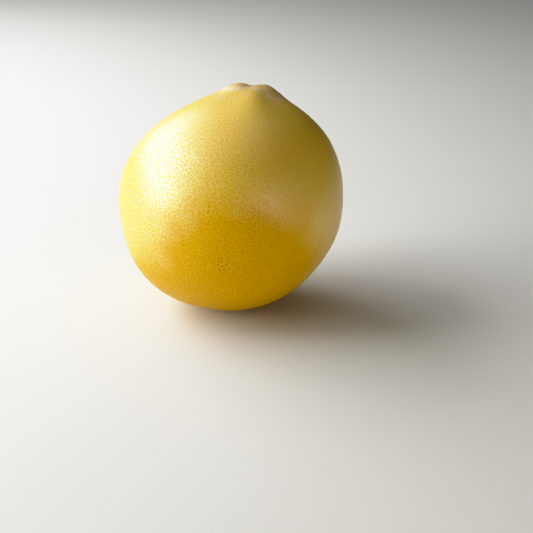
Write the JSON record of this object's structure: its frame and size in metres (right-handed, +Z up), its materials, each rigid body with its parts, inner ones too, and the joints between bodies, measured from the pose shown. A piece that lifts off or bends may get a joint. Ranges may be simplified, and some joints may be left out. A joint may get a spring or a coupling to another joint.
{
  "type": "pomelo",
  "caption": "Whole ripe pomelo, a large pear-shaped yellow citrus fruit with a short ribbed neck and a dry stalk button in its crown, lying tilted on a small flat spot.",
  "frame": {"origin": "on the flat spot that the fruit rests on, straight below the fruit's middle", "axes": "+Z up, away from the surface it rests on; -Y is the front of the view, and the stalk leans 11 degrees to +X and 20 degrees back to +Y"},
  "size_m": [0.1501, 0.1481, 0.1499],
  "materials": {
    "peel": "waxy yellow citrus peel with fine sunken oil glands and a satin shine",
    "stalk": "dry, matt, woody brown"
  },
  "bodies": {
    "root": {"fruit": "peel", "stem_button": "stalk"}
  },
  "joints": []
}
